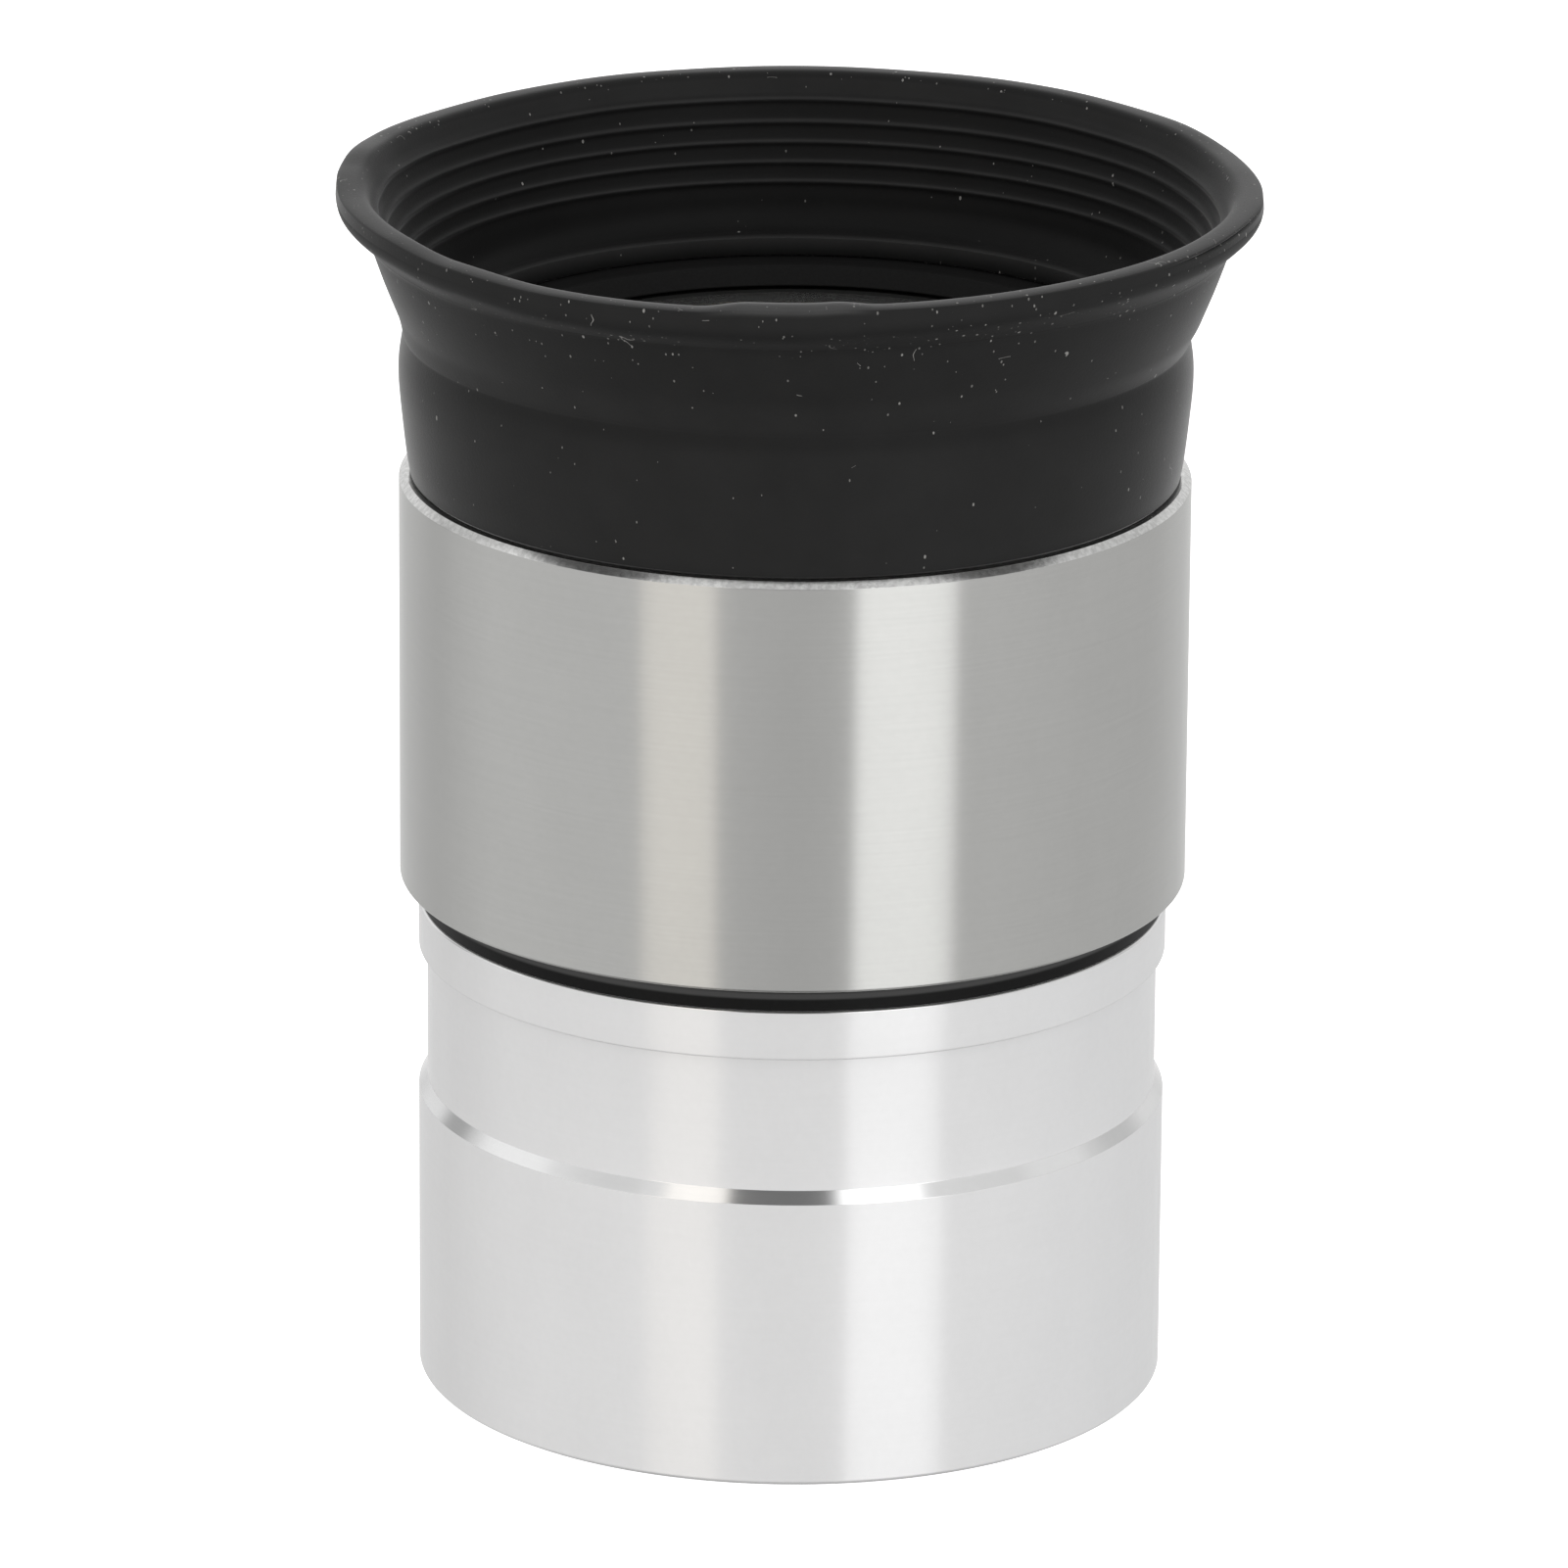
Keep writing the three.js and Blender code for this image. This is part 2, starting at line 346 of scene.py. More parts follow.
def black_metal(name="black_anodised", level=0.010, rough=0.6):
    material, tree, shader = surface(name, {"Metallic": 0.0, "Roughness": rough, "IOR": 1.18})
    grain = noise(tree, place_in_mm(tree), 9.0, detail=3.0)
    colour = blend_colour(tree, grain, grey(level * 0.7), grey(level * 1.4))
    tree.links.new(colour, shader.inputs["Base Color"])
    bump(tree, shader, grain, 2.0)
    return material


PAINTED_LIGHT_AND_SHADE = "shade"  # an attribute of the eyecup's mesh: painted light and shade, which scales its rubber's colour beside the outside
DUST = "dust"  # another one: how much lint has settled there, from 0 to 1
RUBBER_LEVELS = (0.0145, 0.0205)  # the darkest and lightest rubber
LINT_COLOUR = (0.28, 0.275, 0.265, 1)
GRIT_LEVEL = 0.6  # the finer specks beside the others


def lint(tree, place, size, share, largest):
    """Small pale specks: about share of the cells of this size hold one.

    A speck's radius is at most largest, as a part of its cell's size.
    """
    cells = node(tree, "TexVoronoi", {"Vector": place, "Scale": 1.0 / size, "Randomness": 1.0})
    pick = node(tree, "SeparateColor", {0: cells.outputs["Color"]}).outputs
    radius = maths(tree, "MULTIPLY", pick["Green"], largest)
    inside = maths(tree, "LESS_THAN", cells.outputs["Distance"], radius)
    chosen = maths(tree, "LESS_THAN", pick["Red"], share)
    return maths(tree, "MULTIPLY", inside, chosen)


def fibres(tree, place, share):
    """Short curly hairs: pieces of a noise's contour, each inside its own small patch."""
    wander = noise(tree, place, 0.8, detail=1.0)
    line = maths(tree, "COMPARE", wander, 0.5, 0.004)
    return maths(tree, "MULTIPLY", line, lint(tree, place, 1.2, share, 0.42))


def moulded_rubber(name, sheen):
    """Matte black rubber with lint on it. The mesh's attributes set its painted light and shade, and
    its dust.
    """
    values = {"Roughness": 0.5, "IOR": 1.2, "Sheen Weight": sheen, "Sheen Roughness": 0.30}
    material, tree, shader = surface(name, values)
    place = place_in_mm(tree)
    grain = noise(tree, place, 7.0, detail=4.0, rough=0.65)
    cloud = noise(tree, place, 0.5, detail=3.0)
    patchy = ramp(tree, noise(tree, place, 0.4, detail=2.0), 0.36, 0.6, 0.25, 1.0)
    dust = node(tree, "Attribute", attribute_name=DUST).outputs["Fac"]
    dusty = maths(tree, "MULTIPLY", dust, patchy)
    slim = place_in_mm(tree, (1.0, 1.0, 0.55))
    dots = lint(tree, slim, 0.28, maths(tree, "MULTIPLY", dusty, 0.5), 0.22)
    grit = lint(tree, slim, 0.17, maths(tree, "MULTIPLY", dusty, 0.4), 0.26)
    hairs = fibres(tree, place, maths(tree, "MULTIPLY", dusty, 0.5))
    bright = maths(tree, "MAXIMUM", dots, hairs)
    specks = maths(tree, "MAXIMUM", bright, maths(tree, "MULTIPLY", grit, GRIT_LEVEL))
    dull = blend_colour(tree, cloud, *[grey(level) for level in RUBBER_LEVELS])
    # the shade attribute paints light and shade into the rubber's colour: darker inside the cup,
    # lighter along crests and edges
    shade = node(tree, "Attribute", attribute_name=PAINTED_LIGHT_AND_SHADE).outputs["Fac"]
    dull = node(tree, "VectorMath", {0: dull, "Scale": shade}, operation="SCALE").outputs[0]
    colour = blend_colour(tree, specks, dull, LINT_COLOUR)
    tree.links.new(colour, shader.inputs["Base Color"])
    bump(tree, shader, grain, 6.0)
    return material


def seal_rubber(low, high):
    """Black rubber, with a lighter band painted along its upper part as a painted highlight."""
    material, tree, shader = surface("seal_rubber", {"Roughness": 0.4, "IOR": 1.2})
    place = place_in_mm(tree)
    grain = noise(tree, place, 5.0, detail=3.0)
    height = node(tree, "SeparateXYZ", {0: place}).outputs["Z"]
    # dust here is a painted highlight: a lighter band across the upper part of the seal
    dust = band(tree, height, low + (high - low) * 0.46, low + (high - low) * 0.72, (high - low) * 0.15)
    black = blend_colour(tree, grain, grey(0.004), grey(0.008))
    colour = blend_colour(tree, dust, black, grey(0.07))
    tree.links.new(colour, shader.inputs["Base Color"])
    bump(tree, shader, grain, 3.0)
    return material


def glass(name, ior, tint):
    values = {
        "Roughness": 0.0,
        "IOR": ior,
        "Transmission Weight": 0.95,  # the rest is a thin haze of dust
        "Thin Film Thickness": 110.0,
        "Thin Film IOR": 1.38,
    }
    material, tree, shader = surface(name, values)
    cloud = noise(tree, place_in_mm(tree), 0.3)
    colour = blend_colour(tree, cloud, tint, tuple(min(1, 1.01 * c) for c in tint))
    tree.links.new(colour, shader.inputs["Base Color"])
    return material


# ---- mesh helpers ----


def extent(name):
    """A CAD node's outer radius, lowest and highest height, in millimetres."""
    low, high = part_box(name)
    return high.x / MM, low.z / MM, high.z / MM


def rounded(corners, steps=4):
    """An outline from (radius, height, rounding) corners, each rounding as a small curve."""
    outline = []
    count = len(corners)
    for i, (r, z, rounding) in enumerate(corners):
        corner = Vector((r, z))
        if rounding <= 0:
            outline.append((r, z))
            continue
        before = Vector(corners[i - 1][:2]) - corner
        after = Vector(corners[(i + 1) % count][:2]) - corner
        start = corner + before * min(0.5, rounding / before.length)
        end = corner + after * min(0.5, rounding / after.length)
        for k in range(steps + 1):
            t = k / steps
            point = start * (1 - t) ** 2 + corner * (2 * t * (1 - t)) + end * t**2
            outline.append((point.x, point.y))
    return outline


def smooth_through(points, step=0.12):
    """A Catmull-Rom curve through the points, as an open run of (radius, height) points."""
    run = []
    ends = [points[0], *points, points[-1]]
    for i in range(1, len(ends) - 2):
        p = [Vector(q) for q in ends[i - 1:i + 3]]
        pieces = max(2, round((p[2] - p[1]).length / step))
        for k in range(pieces):
            t = k / pieces
            point = 0.5 * (
                2 * p[1]
                + (p[2] - p[0]) * t
                + (2 * p[0] - 5 * p[1] + 4 * p[2] - p[3]) * t**2
                + (3 * p[1] - p[0] - 3 * p[2] + p[3]) * t**3
            )
            run.append((point.x, point.y))
    run.append(tuple(points[-1]))
    return run


def ladder(start, end, step=LADDER):
    """Evenly spaced points from start to end, for a stretch that is shaped afterwards."""
    count = max(2, round(math.dist(start, end) / step))
    return [
        (start[0] + (end[0] - start[0]) * k / count, start[1] + (end[1] - start[1]) * k / count)
        for k in range(count + 1)
    ]


def turned(name, outline, shape=None, segments=SEGMENTS, closed=True):
    """Turns an outline about Z. shape(r, z, angle) may move its points as they go round."""
    profile = np.array(outline, float)
    count = len(profile)
    angle = np.linspace(0, 2 * math.pi, segments, endpoint=False)[:, None] + np.zeros((1, count))
    r = profile[None, :, 0] + np.zeros((segments, 1))
    z = profile[None, :, 1] + np.zeros((segments, 1))
    shift = 0.0
    if shape:
        r, z, shift = shape(r, z, angle)
    points = np.stack([r * np.cos(angle) + shift, r * np.sin(angle), z], axis=-1).reshape(-1, 3) * MM
    index = np.arange(segments * count).reshape(segments, count)
    following = np.roll(index, -1, axis=0)
    quads = np.stack([index, following, np.roll(following, -1, 1), np.roll(index, -1, 1)], axis=-1)
    if not closed:
        quads = quads[:, :-1]
    mesh = bpy.data.meshes.new(name)
    mesh.from_pydata(points.tolist(), [], quads.reshape(-1, 4).tolist())
    if not closed:
        weld(mesh)
    return mesh


def weld(mesh):
    """Joins the points that lie together on the axis."""
    shape = bmesh.new()
    shape.from_mesh(mesh)
    bmesh.ops.remove_doubles(shape, verts=shape.verts, dist=1e-8)
    shape.to_mesh(mesh)
    shape.free()


def thread(r, z, angle, low, high, pitch, depth, inside):
    """Cuts a helical thread into the points between two heights."""
    phase = np.mod((z - low) / pitch - angle / (2 * math.pi), 1.0)
    groove = 1 - np.abs(2 * phase - 1)
    fade = np.clip((z - low) / pitch, 0, 1) * np.clip((high - z) / pitch, 0, 1)
    return r + np.where(inside, -1, 1) * depth * groove * fade


def smooth_step(value, low, high):
    t = np.clip((value - low) / (high - low), 0, 1)
    return t * t * (3 - 2 * t)


def piece(name, mesh, materials, body, nodes, zone=None):
    """Finishes a mesh as a piece of the object, in the place of these CAD nodes.

    zone(r, z) picks a material for each face. A blended piece rides no body here.
    """
    for material in materials:
        mesh.materials.append(material)
    if zone:
        centres = [face.center / MM for face in mesh.polygons]
        indices = [zone(math.hypot(c.x, c.y), c.z) for c in centres]
        mesh.polygons.foreach_set("material_index", indices)
    mesh.shade_smooth()
    mesh.set_sharp_from_angle(angle=math.radians(SHARP_ANGLE))
    made = bpy.data.objects.new(name, mesh)
    scene.collection.objects.link(made)
    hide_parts(*nodes)
    if body:
        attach(made, body)
    return made


def with_spanner_slots(mesh, radius, low, width=1.6, depth=0.6):
    """Cuts two spanner slots across the lower face of a ring."""
    ring = bpy.data.objects.new("ring", mesh)
    block = bpy.data.meshes.new("slot_cutter")
    shape = bmesh.new()
    size = Matrix.Diagonal((width * MM, 4 * radius * MM, 2 * depth * MM, 1))
    bmesh.ops.create_cube(shape, size=1, matrix=Matrix.Translation((0, 0, low * MM)) @ size)
    shape.to_mesh(block)
    shape.free()
    cutter = bpy.data.objects.new("slot_cutter", block)
    for made in (ring, cutter):
        scene.collection.objects.link(made)
    cut = ring.modifiers.new("slots", "BOOLEAN")
    cut.operation = "DIFFERENCE"
    cut.solver = "EXACT"
    cut.object = cutter
    bpy.context.view_layer.update()
    evaluated = ring.evaluated_get(bpy.context.evaluated_depsgraph_get())
    result = bpy.data.meshes.new_from_object(evaluated)
    for made in (ring, cutter):
        bpy.data.objects.remove(made)
    return result


# ---- barrel ----

FILTER_THREAD_R = 28.5 / 2
FILTER_PITCH = 0.6
FILTER_DEPTH = 0.32
FILTER_TOP = 6.0
LIGHT_BORE_R = 13.9
UNDERCUT_R = 15.5
UNDERCUT_LOW = 12.98
UNDERCUT_HIGH = 18.8
BEVEL_LOW = 12.45
BREAK = 0.16  # the broken edge at the lower end
TOP_BREAK = 0.08
COLLAR_RISE = 0.05  # the collar's edge comes up to the seal
NECK_THREAD_R = 14.6
NECK_THREAD_LOW = 16.2
NECK_PITCH = 0.75
NECK_DEPTH = 0.1
NECK_STEP = 0.09  # between the outline's points along the neck's threads


def barrel(satin, cut, black):
    outer, low, top = extent("barrel")
    top += COLLAR_RISE
    outline = rounded([
        (FILTER_THREAD_R + 0.35, low, 0.05),
        (outer - BREAK, low, 0.05),
        (outer, low + BREAK, 0.06),
        (outer, BEVEL_LOW, 0.015),
        (UNDERCUT_R, UNDERCUT_LOW, 0.02),
        (UNDERCUT_R, UNDERCUT_HIGH, 0.04),
        (outer, UNDERCUT_HIGH, 0.13),
        (outer, top - TOP_BREAK, 0.04),
        (outer - TOP_BREAK, top, 0.04),
        (NECK_THREAD_R + 0.3, top, 0.05),
        (NECK_THREAD_R, top - 0.3, 0.0),
    ])
    neck_low = NECK_THREAD_LOW + 0.5
    neck_high = top - 0.4
    outline += ladder((NECK_THREAD_R, neck_high), (NECK_THREAD_R, neck_low), NECK_STEP)
    outline += rounded([
        (NECK_THREAD_R, NECK_THREAD_LOW, 0.05),
        (LIGHT_BORE_R, NECK_THREAD_LOW, 0.05),
        (LIGHT_BORE_R, FILTER_TOP, 0.05),
        (FILTER_THREAD_R, FILTER_TOP, 0.0),
    ])
    filter_low = low + 0.5
    filter_high = FILTER_TOP - 0.4
    outline += ladder((FILTER_THREAD_R, FILTER_TOP - 0.3), (FILTER_THREAD_R, low + 0.45))

    def threads(r, z, angle):
        inside = r < UNDERCUT_R - 0.3
        in_mouth = inside & (z > filter_low) & (z < filter_high) & (r > LIGHT_BORE_R + 0.1)
        in_neck = inside & (z > neck_low) & (z < neck_high)
        mouth = thread(r, z, angle, filter_low, filter_high, FILTER_PITCH, FILTER_DEPTH, True)
        r = np.where(in_mouth, mouth, r)
        neck = thread(r, z, angle, neck_low, neck_high, NECK_PITCH, NECK_DEPTH, True)
        return np.where(in_neck, neck, r), z, 0.0

    def zone(r, z):
        if r < outer - 0.9:
            return 2 if z > low + 0.6 else 1
        on_top_edge = z > top - TOP_BREAK - 0.01 and r > outer - TOP_BREAK - 0.02
        on_bevel = BEVEL_LOW - 0.01 < z < UNDERCUT_LOW + 0.01 and r > UNDERCUT_R
        return 1 if on_top_edge or on_bevel else 0

    mesh = turned("barrel_tube", outline, threads)
    piece("barrel_tube", mesh, [satin, cut, black], "barrel", ["barrel"], zone)


STOP_R = 13.5
STOP_CONE = 0.35  # how far the stop opens on its lower side


def field_stop(black):
    outer, low, top = extent("field_stop")
    outline = rounded([
        (STOP_R, low + 0.5, 0.04),
        (STOP_R + STOP_CONE, low, 0.04),
        (outer, low, 0.05),
        (outer, top, 0.05),
        (STOP_R + 0.1, top, 0.05),
    ])
    mesh = with_spanner_slots(turned("stop_ring", outline), outer, low)
    piece("stop_ring", mesh, [black], "barrel", ["field_stop"])


# ---- seal and body ----

NECK_R = 14.45
NECK_GAP = 0.1  # between the neck and what goes round it
SLEEVE_BORE_R = 15.76
SHOULDER_R = 15.95
SEAL_BULGE = 0.28  # how far the squeezed seal swells past its own size
SEAL_DROP = 0.04
SLEEVE_EDGE = 0.28  # the sleeve's top edge, broken at 45 degrees
SLEEVE_BREAK = 0.1  # its lower edge
SLEEVE_FLOOR = 1.0  # the thickness of its lower end
SLEEVE_RISE = 0.05


def seal(rubber):
    outer, low, top = extent("seal_ring")
    bulge = outer + SEAL_BULGE
    outline = rounded([
        (NECK_R + NECK_GAP, low - SEAL_DROP, 0.1),
        (bulge, low - SEAL_DROP, 0.03),
        (bulge, top, 0.3),
        (NECK_R + NECK_GAP, top, 0.1),
    ], steps=8)
    piece("seal", turned("seal", outline), [rubber], "seal", ["seal_ring"])


def sleeve(steel, edge):
    outer, low, top = extent("body_sleeve")
    top += SLEEVE_RISE
    outline = rounded([
        (NECK_R + NECK_GAP, low + 0.1, 0.03),
        (SHOULDER_R, low + 0.1, 0.03),
        (SHOULDER_R, low, 0.03),
        (outer - SLEEVE_BREAK, low, 0.06),
        (outer, low + SLEEVE_BREAK, 0.06),
        (outer, top - SLEEVE_EDGE, 0.02),
        (outer - SLEEVE_EDGE, top, 0.02),
        (SLEEVE_BORE_R, top, 0.04),
        (SLEEVE_BORE_R, low + SLEEVE_FLOOR, 0.04),
        (NECK_R + NECK_GAP, low + SLEEVE_FLOOR, 0.04),
    ])

    def zone(r, z):
        return 1 if z > top - SLEEVE_EDGE + 0.01 and r > SLEEVE_BORE_R + 0.02 else 0

    mesh = turned("sleeve", outline)
    piece("sleeve", mesh, [steel, edge], "housing", ["body_sleeve"], zone)


# ---- lens housing ----

EYE_APERTURE_R = 13.0
LENS_BORE_R = 13.6
SPIGOT_R = 15.2
NECK_CHAMFER = 0.25
LIP_THICKNESS = 0.75  # of the lip that holds the eye lens
RETAINER_HIGH = 7.6  # the retaining ring's thread ends this far above the housing's lower end
RETAINER_PITCH = 0.5
RETAINER_DEPTH = 0.12


def housing(black):
    wall, low, top = extent("lens_housing")
    _, sleeve_low, sleeve_top = extent("body_sleeve")
    shoulder = sleeve_low + SLEEVE_FLOOR + 0.1
    spigot_low = sleeve_top - 0.1
    neck_low = low + 0.35
    neck_high = shoulder - 0.4
    bore_low = low + 0.3
    bore_high = low + RETAINER_HIGH
    outline = rounded([
        (LENS_BORE_R + 0.2, low, 0.03),
        (NECK_R - NECK_CHAMFER, low, 0.04),
        (NECK_R, low + NECK_CHAMFER, 0.0),
    ])
    outline += ladder((NECK_R, neck_low), (NECK_R, neck_high), NECK_STEP)
    outline += rounded([
        (NECK_R, shoulder, 0.05),
        (wall, shoulder, 0.1),
        (wall, spigot_low, 0.08),
        (SPIGOT_R, spigot_low, 0.05),
        (SPIGOT_R, top, 0.08),
        (EYE_APERTURE_R + 0.7, top, 0.1),
        (EYE_APERTURE_R, top - 0.7, 0.03),
        (EYE_APERTURE_R, top - LIP_THICKNESS, 0.0),
        (LENS_BORE_R, top - LIP_THICKNESS, 0.05),
    ])
    outline += ladder((LENS_BORE_R, bore_high), (LENS_BORE_R, bore_low), NECK_STEP)

    def threads(r, z, angle):
        in_neck = (r > NECK_R - 0.05) & (r < NECK_R + 0.05) & (z > neck_low) & (z < neck_high)
        in_bore = (r < LENS_BORE_R + 0.05) & (z < bore_high) & (z > bore_low)
        neck = thread(r, z, angle, neck_low, neck_high, NECK_PITCH, NECK_DEPTH, True)
        r = np.where(in_neck, neck, r)
        bore = thread(r, z, angle, bore_low, bore_high, RETAINER_PITCH, RETAINER_DEPTH, False)
        return np.where(in_bore, bore, r), z, 0.0

    mesh = turned("housing_tube", outline, threads)
    piece("housing_tube", mesh, [black], "housing", ["lens_housing"])


# ---- optics ----

LENS_R = 13.5
OUTER_CURVE = 69.0
CEMENT_CURVE = 40.0
INNER_CURVE = 45.0
CEMENT_OVERLAP = 0.06  # the crown reaches this far into the flint, so that no air gap shows
EYE_CEMENT = 43.08  # height of the eye doublet's cement on the axis
EYE_CROWN_LOW = 35.48  # height of the eye crown's lower face there
FIELD_FLINT_THICKNESS = 2.0
RIM_CHAMFER = 0.15
LENS_STEPS = 28


def sag(curve, r):
    """How far a sphere of radius curve has fallen away at the radius r."""
    return curve - math.sqrt(curve * curve - r * r)


def lens_face(apex, curve, opens):
    """A polished face from the axis to the chamfer. It opens up (+1) or down (-1)."""
    radii = [(LENS_R - RIM_CHAMFER) * k / LENS_STEPS for k in range(LENS_STEPS + 1)]
    return [(r, apex + opens * sag(curve, r)) for r in radii]


def lens(name, node_name, lower, upper, clear, ground):
    edge_low = lower[-1][1] + RIM_CHAMFER
    edge_high = upper[-1][1] - RIM_CHAMFER
    if edge_high <= edge_low:
        edge_low = edge_high = (edge_low + edge_high) / 2
    outline = [*lower, (LENS_R, edge_low), (LENS_R, edge_high + 1e-3), *reversed(upper)]
    mesh = turned(name, outline, segments=LENS_SEGMENTS, closed=False)

    def zone(r, _):
        return 1 if r > LENS_R - RIM_CHAMFER else 0

    piece(name, mesh, [clear, ground], "housing", [node_name], zone)


def optics(crown, flint, ground):
    """Two cemented doublets, with their crowns facing each other."""
    eye_apex = extent("eye_flint")[2]
    field_crown_top = extent("field_crown")[2]
    field_apex = extent("field_flint")[1]
    field_cement = field_apex + FIELD_FLINT_THICKNESS
    lens("eye_flint_glass", "eye_flint",
         lens_face(EYE_CEMENT, CEMENT_CURVE, -1),
         lens_face(eye_apex, OUTER_CURVE, -1), flint, ground)
    lens("eye_crown_glass", "eye_crown",
         lens_face(EYE_CROWN_LOW, INNER_CURVE, 1),
         lens_face(EYE_CEMENT + CEMENT_OVERLAP, CEMENT_CURVE, -1), crown, ground)
    lens("field_crown_glass", "field_crown",
         lens_face(field_cement - CEMENT_OVERLAP, CEMENT_CURVE, 1),
         lens_face(field_crown_top, INNER_CURVE, -1), crown, ground)
    lens("field_flint_glass", "field_flint",
         lens_face(field_apex, OUTER_CURVE, 1),
         lens_face(field_cement, CEMENT_CURVE, 1), flint, ground)


SPACER_BORE_R = 12.7
RETAINER_BORE_R = 12.6
RETAINER_CONE = 0.3  # how far the bore opens on the lower side
RING_EDGE = 0.08


def spacer(black):
    outer, low, top = extent("spacer_ring")
    outline = rounded([
        (SPACER_BORE_R, low, RING_EDGE),
        (outer, low, RING_EDGE),
        (outer, top, RING_EDGE),
        (SPACER_BORE_R, top, RING_EDGE),
    ])
    piece("spacer", turned("spacer", outline), [black], "housing", ["spacer_ring"])


def retainer(black):
    outer, low, top = extent("retaining_ring")
    outline = rounded([
        (RETAINER_BORE_R, low + RETAINER_CONE, 0.05),
        (RETAINER_BORE_R + RETAINER_CONE, low, 0.05),
        (outer, low, RING_EDGE),
        (outer, top, RING_EDGE),
        (RETAINER_BORE_R, top, 0.05),
    ])
    mesh = with_spanner_slots(turned("retainer", outline), outer, low)
    piece("retainer", mesh, [black], "housing", ["retaining_ring"])


# ---- eyecup ----

GRIP_R = 15.35  # the bore that grips the housing
EYECUP_LIP_R = 15.0  # the lip inside, on the housing's top
EYECUP_LIP_TOP = 45.62
LIP_GAP = 0.05
WALL_FOOT = (16.50, 47.1)  # the ends of the ridged wall inside
WALL_HEAD = (17.86, 51.2)
WALL_MARGIN = 0.05
WALL_LIMIT = ((47.0, 51.3), (16.7, 18.2))  # heights, and the radii that it stays within there
INSIDE_LIMIT = ((46, 51.3), (16.45, 18.2))  # the same for all of the inner side
INSIDE_R = 18.14
INSIDE_TOP = 51.8
RIDGES = (  # radius, height of each fold ridge
    (16.53, 47.69), (16.74, 48.50), (17.0, 49.33), (17.26, 50.11), (17.55, 50.96),
)
RIDGE_HEIGHT = 0.10
RIDGE_WIDTH = 0.14
WALL_LEAN = 0.14  # the soft wall sits a little to the right
GROOVE_HEIGHT = 51.87  # parting groove in the rim's edge, on the right
GROOVE_WIDTH = 0.045
GROOVE_DEPTH = 0.14
SWELL_HEIGHT = 0.25  # low swelling on the front lip
SWELL_LEFT = (-13.0, -6.5)  # the directions between which it rises, and falls again
SWELL_RIGHT = (4.0, 10.5)
RIM_LIFT = (  # the soft rim isn't flat: direction from the front in degrees, + to the right; rise
    (-180, 0.11), (-160, 0.12), (-140, 0.08), (-127, 0.03), (-112, 0.12), (-103, 0.20), (-95, 0.10),
    (-80, 0.0), (-63, -0.03), (-49, -0.20), (-34, -0.34), (-19, -0.35), (0, -0.29), (11, -0.15),
    (33, -0.06), (58, 0.0), (80, 0.0), (97, -0.08), (110, -0.12), (125, 0.0), (145, 0.10), (180, 0.11),
)
RIM_BULGE = (  # nor round: direction, growth
    (-180, 0.0), (-140, 0.0), (-110, 0.13), (-95, 0.10), (-75, 0.0), (80, 0.0), (100, -0.13),
    (120, 0.0), (180, 0.0),
)
RIM_WAVES = ((0.02, 5, 0.6), (0.012, 11, 2.1), (0.007, 23, 0.0))  # depth, waves in a turn, phase
LIFT_WAVE = (0.01, 13)  # height, waves in a turn

# painted light and shade on the rubber, as factors on its colour beside its outside
INSIDE_PAINTED_SHADE = 0.48  # painted shade between the fold ridges
COLLAR_PAINTED_LIGHT = 1.25  # painted light above them
CREST_PAINTED_HIGHLIGHT = 1.9  # painted highlight along them
LIP_PAINTED_HIGHLIGHT = 3.0  # painted highlight along the edge deep inside
SWELL_PAINTED_HIGHLIGHT = 3.5  # painted highlight on the swelling
STEP_PAINTED_LIGHT = 0.15  # painted light added just above the crease
STEP_PAINTED_SHADOW = 0.2  # painted shadow, taken away just below it

# how much lint lies on it, from 0 to 1
INSIDE_DUST = 0.09
BASE_DUST = 0.10
FLARE_DUST = 0.50  # added on the flare
RIM_DUST = 0.40  # and again on the rim
TOP_DUST = 0.6  # of that, on the rim's flat top


def around(points, azimuth):
    """Joins (direction, value) points smoothly round the piece."""
    places = np.array([p[0] for p in points], float)
    values = np.array([p[1] for p in points], float)
    index = np.clip(np.searchsorted(places, azimuth, side="right") - 1, 0, len(points) - 2)
    t = (azimuth - places[index]) / (places[index + 1] - places[index])
    return values[index] + (values[index + 1] - values[index]) * smooth_step(t, 0, 1)


def swelling(azimuth):
    """1 along the swelling on the front lip, and 0 elsewhere."""
    return smooth_step(azimuth, *SWELL_LEFT) * (1 - smooth_step(azimuth, *SWELL_RIGHT))


